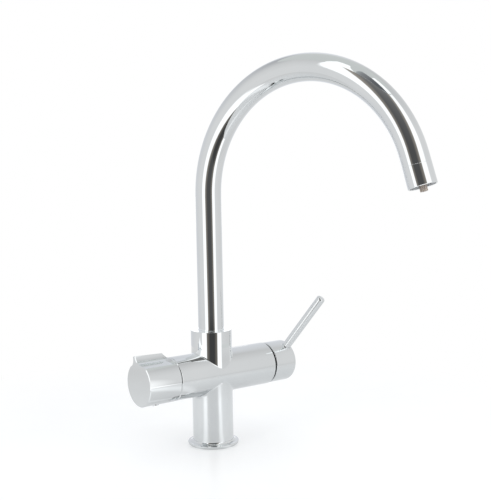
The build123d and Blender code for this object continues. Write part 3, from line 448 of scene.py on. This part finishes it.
# Its plan, in degrees from +X: a bright panel on each side of the opening, painted reflections of the
# softboxes, and pale walls round the rest
left_panel, right_panel, panel_edge, panel_tone = (181.5, 206.0), (270.0, 290.0), 2.5, 1.62
corner_at, back_at, left_at, opening_core = 45.0, 75.0, 150.0, (226.0, 252.0)
plain, cool, smoke = (1.0, 1.0, 1.0), (0.985, 1.005, 1.05), (1.1, 1.0, 0.88)


def ring(right, side, corner, back, left, edge, core):
    """The tent's tones at one height: walls anticlockwise from the right, and the opening's edge and core."""
    return [(0, side, plain), (corner_at, corner, cool), (back_at, back, cool), (left_at, left, plain),
            (left_panel[0] - panel_edge, left, plain), (left_panel[0], panel_tone, plain),
            (left_panel[1], panel_tone, plain), (left_panel[1] + panel_edge, edge, smoke),
            (opening_core[0], core, plain), (opening_core[1], core, plain),
            (right_panel[0] - panel_edge, edge, smoke), (right_panel[0], panel_tone, plain),
            (right_panel[1], panel_tone, plain), (right_panel[1] + 2 * panel_edge, right, plain),
            (360, side, plain)]


foot_tones = ring(0.98, 0.88, 0.93, 0.84, 1.0, 0.25, 0.07)
low_tones = ring(1.0, 0.93, 0.94, 0.87, 1.0, 0.35, 0.11)
high_tones = ring(0.88, 0.75, 1.05, 0.55, 0.85, 0.5, 0.25)
brightest = 1.7  # the ramps hold each tone's share of it, and the light's strength multiplies it back
low_from, high_from = (0.025, 0.05), (0.4, 0.95)  # heights where the foot's tones give way, and the low ones
lean_in, lean_out = (172.0, 184.0), (222.0, 248.0)  # degrees where the lean sets in and dies out
lean_height, lean_rate = 0.15, 20.0  # the height without lean, and degrees per metre above it
# A reflection of reflections sees the tent brighter, up to echo_gain times as bright from echo_depth bounces on
echo_gain, echo_depth = 2.2, 4.0


def mirror_only(item):
    """Lets only reflections see an object of the stage."""
    item.visible_camera = item.visible_diffuse = item.visible_shadow = False
    item.visible_transmission = item.visible_volume_scatter = False


def glowing(name, tone_of, strength=1.0):
    """An emission material whose colour comes from a function of its node tree."""
    surface = bpy.data.materials.new(name)
    surface.use_nodes = True
    tree = surface.node_tree
    tree.nodes.remove(tree.nodes["Principled BSDF"])
    light = tree.nodes.new("ShaderNodeEmission")
    depth = tree.nodes.new("ShaderNodeLightPath").outputs["Ray Depth"]
    echoed = ranged(tree, depth, strength, strength * echo_gain, 1.0, echo_depth)
    tree.links.new(echoed, light.inputs["Strength"])
    tree.links.new(tone_of(tree), light.inputs["Color"])
    tree.links.new(light.outputs["Emission"], tree.nodes["Material Output"].inputs["Surface"])
    return surface


def tent_tone(tree):
    """The tent wall's colour by its angle and height. The opening's left edge leans."""
    place = place_parts(tree)
    turn = turn_of(tree, place)
    leans = maths(tree, "MULTIPLY", ranged(tree, turn, 0.0, 1.0, *lean_in),
                  ranged(tree, turn, 1.0, 0.0, *lean_out))
    shift = maths(tree, "MULTIPLY", maths(tree, "SUBTRACT", place["Z"], lean_height), lean_rate)
    share = maths(tree, "DIVIDE", maths(tree, "ADD", turn, maths(tree, "MULTIPLY", leans, shift)), 360.0)

    def ring_colour(tones):
        """The colour round the tent at one height."""
        return colours(tree, share, [(angle / 360, tuple(tone * part / brightest for part in tint))
                                     for angle, tone, tint in tones])

    near = blended(tree, ranged(tree, place["Z"], 0.0, 1.0, *low_from), ring_colour(foot_tones),
                   ring_colour(low_tones))
    return blended(tree, ranged(tree, place["Z"], 0.0, 1.0, *high_from), near, ring_colour(high_tones))


fan_steps = 120


def fan(name, inner, outer, start, end, height, top=None):
    """A mesh fan in plan from inner to outer radius, or a wall when top is given."""
    shape = bmesh.new()
    rows = []
    for step in range(fan_steps + 1):
        angle = radians(start + (end - start) * step / fan_steps)
        a = shape.verts.new((inner * cos(angle), inner * sin(angle), height))
        b = shape.verts.new((outer * cos(angle), outer * sin(angle), height if top is None else top))
        rows.append((a, b))
    for (a, b), (c, d) in zip(rows, rows[1:]):
        shape.faces.new((a, c, d, b))
    mesh = bpy.data.meshes.new(name)
    shape.to_mesh(mesh)
    shape.free()
    return new_object(name, mesh)


def tent_part(name, surface, *shape):
    """A fan or wall of the tent, which only reflections see."""
    part = fan(name, *shape)
    part.data.materials.append(surface)
    mirror_only(part)


def flat_card(name, corners, height, material):
    """A flat card in plan that only reflections see."""
    mesh = bpy.data.meshes.new(name)
    mesh.from_pydata([(x, y, height) for x, y in corners], [], [tuple(range(len(corners)))])
    mesh.materials.append(material)
    mirror_only(new_object(name, mesh))


def faded(axis, stops):
    """A colour function with a ramp along an axis in metres."""
    first, last = stops[0][0], stops[-1][0]

    def tone_of(tree):
        share = ranged(tree, place_parts(tree)[axis], 0.0, 1.0, first, last)
        return colours(tree, share, [((at - first) / (last - first), tone) for at, tone in stops])
    return tone_of


def clouded(tone):
    """A colour function with a faint drift around a tone."""
    return lambda tree: colours(tree, noise(tree, 3.0), [(0.3, tuple(v * 0.985 for v in tone)),
                                                         (0.7, tuple(v * 1.015 for v in tone))])


white_card = (0.94, 0.94, 0.94)
just_inside, card_gap = tent_radius - 0.001, 0.002
under_roof = tent_height - card_gap
tent_surface = glowing("tent", tent_tone, brightest)
roof_light = glowing("roof_light", clouded(white_card), brightest)
tent_part("tent_wall", tent_surface, tent_radius, tent_radius, 0, 360, -0.01, tent_height)
tent_part("beyond_table", tent_surface, table_edge, tent_radius, 181, 293, 0.0006)
tent_part("tent_roof", glowing("roof", clouded((0.84, 0.865, 0.85))), 0.0, tent_radius, 0, 360, tent_height)
# a slightly darker glowing band at the foot of the wall: a painted reflection
tent_part("wall_foot_band", glowing("wall_foot_band", clouded((0.91, 0.93, 0.92))),
          just_inside, just_inside, 294, 345, -0.006, 0.006)
# a bright glowing card that the collar's top face mirrors: a painted reflection
tent_part("back_glow_card", glowing("back_glow_card", clouded(white_card), brightest),
          just_inside, just_inside, 48.5, 62, 0.182, 0.228)
# bright glowing cards under the roof: painted reflections of overhead light
flat_card("roof_light_left", ((-0.52, 0.05), (-0.52, -0.2), (-0.1, -0.14), (-0.14, -0.045)), under_roof,
          roof_light)
flat_card("roof_light_right", ((-0.01, -0.31), (-0.03, -0.52), (0.23, -0.47), (0.14, -0.29)), under_roof,
          roof_light)
# the roof's dark part over the opening, lighter towards the middle
roof_shade = faded("Y", [(-0.52, (0.15, 0.16, 0.175)), (-0.4, (0.16, 0.17, 0.18)),
                         (-0.36, (0.18, 0.185, 0.2)), (-0.31, (0.26, 0.27, 0.28)),
                         (-0.26, (0.33, 0.34, 0.35)), (-0.235, (0.44, 0.46, 0.47)),
                         (-0.2, (0.6, 0.62, 0.62))])
flat_card("roof_opening", ((-0.48, -0.21), (-0.04, -0.225), (-0.035, -0.52), (-0.3, -0.44)),
          under_roof - card_gap, glowing("roof_shade", roof_shade))


def softbox(name, start, end, low, high, radiance):
    """An upright area lamp over a plan line, which faces the tap. The tent stands in for its reflection."""
    upwards = Vector((0.0, 0.0, 1.0))
    start, end = Vector((*start, 0.0)), Vector((*end, 0.0))
    middle = (start + end) / 2 + Vector((0.0, 0.0, (low + high) / 2))
    width, along = (end - start).length, (end - start).normalized()
    lamp = bpy.data.lights.new(name, "AREA")
    lamp.shape = "RECTANGLE"
    lamp.size = width
    lamp.size_y = high - low
    lamp.energy = radiance * pi * width * (high - low)
    item = new_object(name, lamp)
    normal = along.cross(upwards)
    if normal.dot(Vector((-middle.x, -middle.y, 0.0))) < 0:
        normal = -normal
    side = upwards.cross(-normal)
    item.matrix_world = Matrix.Translation(middle) @ Matrix((side, upwards, -normal)).transposed().to_4x4()
    item.visible_glossy = False


softbox_low, softbox_high, softbox_radiance = 0.02, 0.8, 1.6
softbox("left_softbox", (-0.52, 0.0), (-0.471, -0.22), softbox_low, softbox_high, softbox_radiance)
softbox("right_softbox", (-0.054, -0.517), (0.203, -0.479), softbox_low, softbox_high, softbox_radiance)
